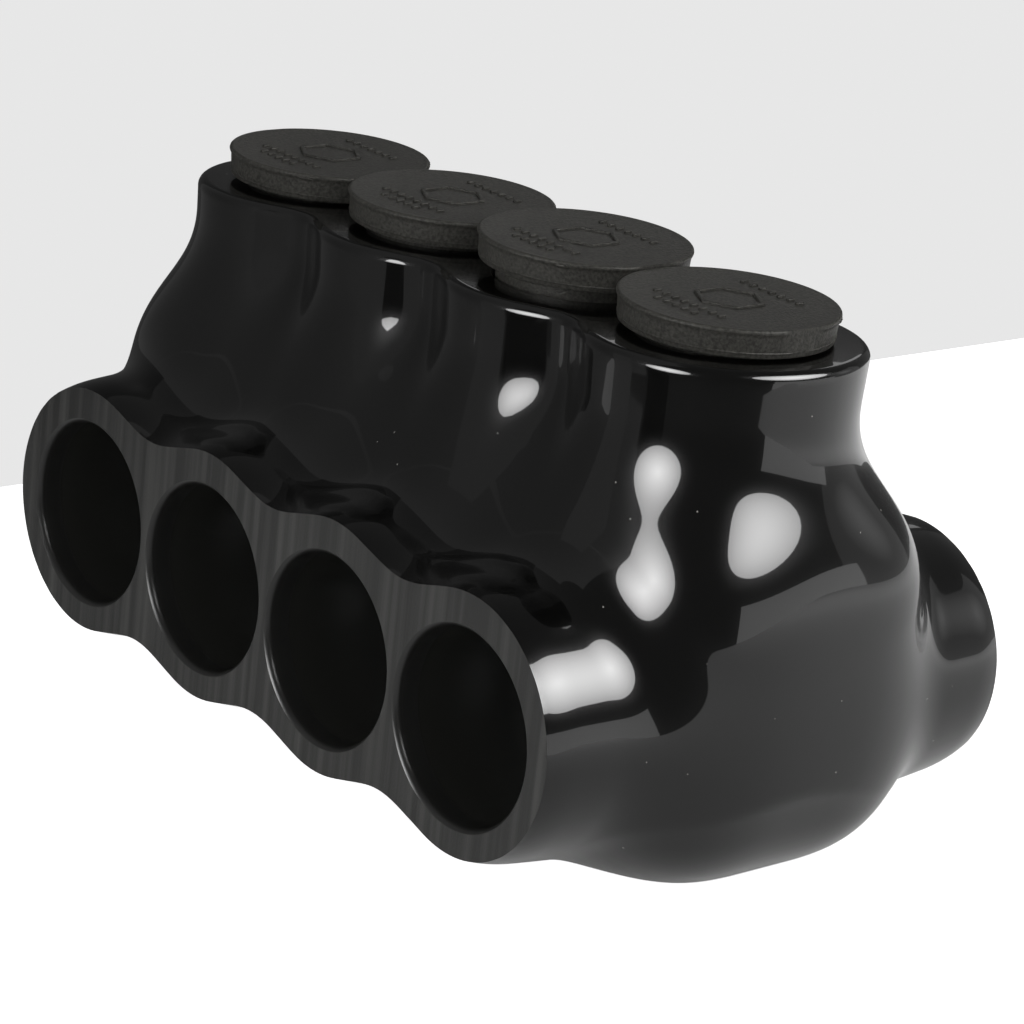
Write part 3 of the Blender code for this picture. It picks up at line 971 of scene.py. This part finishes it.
def joined(parts, place):
    """One bmesh of several, moved to a place."""
    whole = bmesh.new()
    for bm in parts:
        mesh = bpy.data.meshes.new("part")
        bm.to_mesh(mesh)
        bm.free()
        whole.from_mesh(mesh)
        bpy.data.meshes.remove(mesh)
    bmesh.ops.translate(whole, verts=whole.verts, vec=place)
    return whole


for port, port_x in enumerate(PORT_XS, 1):
    low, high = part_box(f"access_plug_{port}")
    head_radius, head_height = (high.y - low.y) / 2, high.z - low.z - SKIRT_LENGTH
    body = turned(plug_profile(head_radius, head_height), HEAD_SIDES)
    for corner in body.verts:
        corner.co.x = min(max(corner.co.x, -HEAD_HALF_WIDTH), HEAD_HALF_WIDTH)
    marks = top_marks()
    for bm in marks:
        bmesh.ops.translate(bm, verts=bm.verts, vec=(0, 0, head_height - TOP_SINK))
    stubs = [gate(head_radius, head_height, azimuth) for azimuth in GATES[port]]
    bm = joined([body, *marks, *stubs], (port_x, SCREW_ROW_Y, low.z + SKIRT_LENGTH))
    plug = new_object(f"plug_{port}", bm, (PLUG_FINISH,))
    dressed(plug, f"access_plug_{port}", f"plug_{port}")

# %% [markdown]
# ## Camera, floor and light
#
# The camera's place, lens and shift were solved from the rims of the ports and plugs, so that the render
# lies over the real object's outline.

# %% The camera
CAMERA_PLACE = (320.5 * MM, -278.7 * MM, 174.6 * MM)
CAMERA_AZIMUTH, CAMERA_ELEVATION, CAMERA_ROLL = 48.73, 18.94, 6.39
CAMERA_LENS = 126.4
CAMERA_SHIFT = (-0.0015, -0.002)

camera = bpy.data.objects.new("camera", bpy.data.cameras.new("camera"))
turn = Matrix.Rotation(math.radians(CAMERA_AZIMUTH), 4, "Z")
tilt = Matrix.Rotation(math.radians(90 - CAMERA_ELEVATION), 4, "X")
roll = Matrix.Rotation(math.radians(CAMERA_ROLL), 4, "Z")
camera.matrix_world = Matrix.Translation(CAMERA_PLACE) @ turn @ tilt @ roll
camera.data.lens = CAMERA_LENS
camera.data.shift_x, camera.data.shift_y = CAMERA_SHIFT
bpy.context.scene.collection.objects.link(camera)
bpy.context.scene.camera = camera

# %% [markdown]
# A glossy black surface shows little but what it mirrors, so the studio is laid out piece by piece. Two
# softboxes light the object, a round one before it and an oval one at its right-hand end. Light Path lets
# them look brighter in a mirror than they are as lamps.

# %% The softboxes
STUDIO_CENTRE = Vector((0, 0, 35 * MM))
MIDDLE_STRENGTH = 1.3


def direction(azimuth, elevation):
    """The way to a place round the object. Azimuth 0 is the front, 90 the right-hand end."""
    a, e = math.radians(azimuth), math.radians(elevation)
    return Vector((math.sin(a) * math.cos(e), -math.cos(a) * math.cos(e), math.sin(e)))


def emitter(name):
    """A new material that only glows, with its node tree and its glow."""
    made = bpy.data.materials.new(name)
    made.use_nodes = True
    tree = made.node_tree
    tree.nodes.clear()
    glow = node(tree, "ShaderNodeEmission")
    out = node(tree, "ShaderNodeOutputMaterial")
    tree.links.new(glow.outputs[0], out.inputs["Surface"])
    return made, tree, glow


def by_path(tree, ray, otherwise, seen):
    """One value for the named kind of ray, and another for all others."""
    path = node(tree, "ShaderNodeLightPath")
    return ranged(tree, path.outputs[ray], (0, 1), (otherwise, seen))


def product(tree, a, b):
    made = node(tree, "ShaderNodeMath", operation="MULTIPLY")
    tree.links.new(a, made.inputs[0])
    tree.links.new(b, made.inputs[1])
    return made.outputs[0]


def softbox(name, azimuth, elevation, distance, radius, lamp, mirror, edge=0.55, wide=1.0, high=1.0):
    """A round or oval lamp that faces the object, brighter in its middle than at its edge."""
    finish, tree, glow = emitter(name)
    place = node(tree, "ShaderNodeTexCoord")
    from_middle = node(tree, "ShaderNodeVectorMath", operation="LENGTH")
    tree.links.new(place.outputs["Object"], from_middle.inputs[0])
    fall = ranged(tree, from_middle.outputs["Value"], (0, 1), (MIDDLE_STRENGTH, edge))
    tree.links.new(product(tree, fall, by_path(tree, "Is Glossy Ray", lamp, mirror)), glow.inputs[1])
    bm = bmesh.new()
    bmesh.ops.create_circle(bm, cap_ends=True, segments=48, radius=1)
    made = new_object(name, bm, (finish,))
    way = direction(azimuth, elevation)
    made.location = STUDIO_CENTRE + way * distance
    made.rotation_mode = "QUATERNION"
    made.rotation_quaternion = way.to_track_quat("Z", "Y")
    made.scale = (radius * wide, radius * high, radius)
    made.visible_camera = False
    made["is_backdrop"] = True


softbox("softbox_front", 7, 14, distance=0.8, radius=0.26, lamp=4.2, mirror=13.0)
softbox("softbox_end", 109, 37.5, distance=0.8, radius=0.355, lamp=3.0, mirror=13.0, wide=1.22, high=0.8)

# %% [markdown]
# The rest of the room is built of patches that only mirrors see: a grey wall with a rail to the left of the
# front, a dark gap low in front, a dark corner behind the left-hand end, a bright sweep of paper round the
# right-hand end, and paler panels behind. A flag, a small card close by, hides the front softbox from the
# leftmost turrets.

# %% Walls that only mirrors see
SKY_RADIUS = 1.5


def sky_patch(name, azimuths, elevations, strengths, radius=SKY_RADIUS):
    """Part of a sphere round the object, which only reflections show.

    Its glow goes from one strength to another along X.
    """
    finish, tree, glow = emitter(name)
    bm = bmesh.new()
    bmesh.ops.create_grid(bm, x_segments=24, y_segments=24, size=0.5)
    for corner in bm.verts:
        across, up = corner.co.x + 0.5, corner.co.y + 0.5
        azimuth = azimuths[0] + across * (azimuths[1] - azimuths[0])
        elevation = elevations[0] + up * (elevations[1] - elevations[0])
        corner.co = STUDIO_CENTRE + direction(azimuth, elevation) * radius
    reach = [corner.co.x for corner in bm.verts]
    apart = node(tree, "ShaderNodeSeparateXYZ")
    tree.links.new(object_space(tree), apart.inputs[0])
    tree.links.new(ranged(tree, apart.outputs["X"], (min(reach), max(reach)), strengths), glow.inputs[1])
    made = new_object(name, bm, (finish,))
    made.visible_camera = False
    made.visible_diffuse = False
    made.visible_shadow = False
    made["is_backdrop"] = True


sky_patch("grey_wall", (-100, -12), (-20, 72), (0.09, 0.33))
sky_patch("rail", (-100, -12), (27, 28.2), (0.13, 0.44), 1.45)
sky_patch("dark_column", (-10, 8), (-22, -1), (0.02, 0.02), 1.4)
sky_patch("dark_corner", (-152, -98), (-30, 46), (0.045, 0.045), 1.4)
sky_patch("flag", (-26, -4.6), (-14, 36), (0.25, 0.29), 0.1156)
sky_patch("sweep", (88, 142), (-20, 6.5), (1.35, 1.35), 1.4)
sky_patch("back_panel", (138, 176), (-8, 28), (0.33, 0.33))
sky_patch("backdrop", (-150, -124), (18, 35), (0.7, 0.7), 1.3)
softbox("back_glow", 156, 16, distance=1.4, radius=0.28, lamp=0.0, mirror=0.7, edge=0.5)

# %% [markdown]
# The object stands on a sheet of white paper, which its reflections show with the object's own shadow on
# it. The paper also glows for every ray but the camera's, faintly near the object and more brightly further
# out: painted shade round the object and painted light away from it. To the camera the paper is white, and
# the room beyond it is a light grey, the plain colour that a background node starts with.

# %% The paper and the room
PAPER_LOW = Vector((-0.1, -0.14, 0))
PAPER_HIGH = Vector((0.9, 1.0, 0))
PAPER_GAP = 0.2 * MM
PAPER_CUT = 170 * MM
PAPER_CUT_AZIMUTH = 48.7
PAPER_PAINTED_GLOW = (0.12, 0.62)
PAPER_REACH = (90 * MM, 330 * MM)
ROOM_LAMP = 0.28
ROOM_MIRROR = 0.13


def bright_to_camera(tree, otherwise):
    """A strength of 1 for what the camera sees, and another for all other rays."""
    path = node(tree, "ShaderNodeLightPath")
    made = node(tree, "ShaderNodeMix", data_type="FLOAT")
    tree.links.new(path.outputs["Is Camera Ray"], made.inputs["Factor"])
    tree.links.new(otherwise, made.inputs["A"])
    made.inputs["B"].default_value = 1.0
    return made.outputs["Result"]


def paper():
    finish, tree, shader = principled("white_paper", (0.8, 0.8, 0.8), 0.9)
    shader.inputs["Emission Color"].default_value = (1, 1, 1, 1)
    away = node(tree, "ShaderNodeVectorMath", operation="LENGTH")
    tree.links.new(object_space(tree), away.inputs[0])
    # Painted shade and light: the paper's glow grows with distance from the object, dim near it and bright
    # further out.
    lit = ranged(tree, away.outputs["Value"], PAPER_REACH, PAPER_PAINTED_GLOW)
    tree.links.new(bright_to_camera(tree, lit), shader.inputs["Emission Strength"])
    bm = bmesh.new()
    bmesh.ops.create_grid(bm, x_segments=1, y_segments=1, size=0.5)
    bmesh.ops.scale(bm, verts=bm.verts, vec=PAPER_HIGH - PAPER_LOW + Vector((0, 0, 1)))
    middle_place = (PAPER_LOW + PAPER_HIGH) / 2 - Vector((0, 0, PAPER_GAP))
    bmesh.ops.translate(bm, verts=bm.verts, vec=middle_place)
    edge = direction(PAPER_CUT_AZIMUTH, 0)
    geometry = bm.verts[:] + bm.edges[:] + bm.faces[:]
    bmesh.ops.bisect_plane(
        bm, geom=geometry, plane_co=edge * PAPER_CUT, plane_no=edge, clear_outer=True
    )
    new_object("paper", bm, (finish,))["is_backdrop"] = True


def room():
    """Light grey to the camera, dim to mirrors, and an even lamp for everything else."""
    world = bpy.data.worlds.new("studio")
    world.use_nodes = True
    bpy.context.scene.world = world
    tree = world.node_tree
    tree.nodes.clear()
    lit = by_path(tree, "Is Glossy Ray", ROOM_LAMP, ROOM_MIRROR)
    back = node(tree, "ShaderNodeBackground")
    tree.links.new(bright_to_camera(tree, lit), back.inputs["Strength"])
    out = node(tree, "ShaderNodeOutputWorld")
    tree.links.new(back.outputs[0], out.inputs["Surface"])


paper()
room()
bpy.context.scene.view_settings.view_transform = "Standard"
print("the stage is set, and its camera looks from", CAMERA_PLACE)

# %% [markdown]
# Last, the bounds of the dressed part are measured.

low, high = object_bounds()
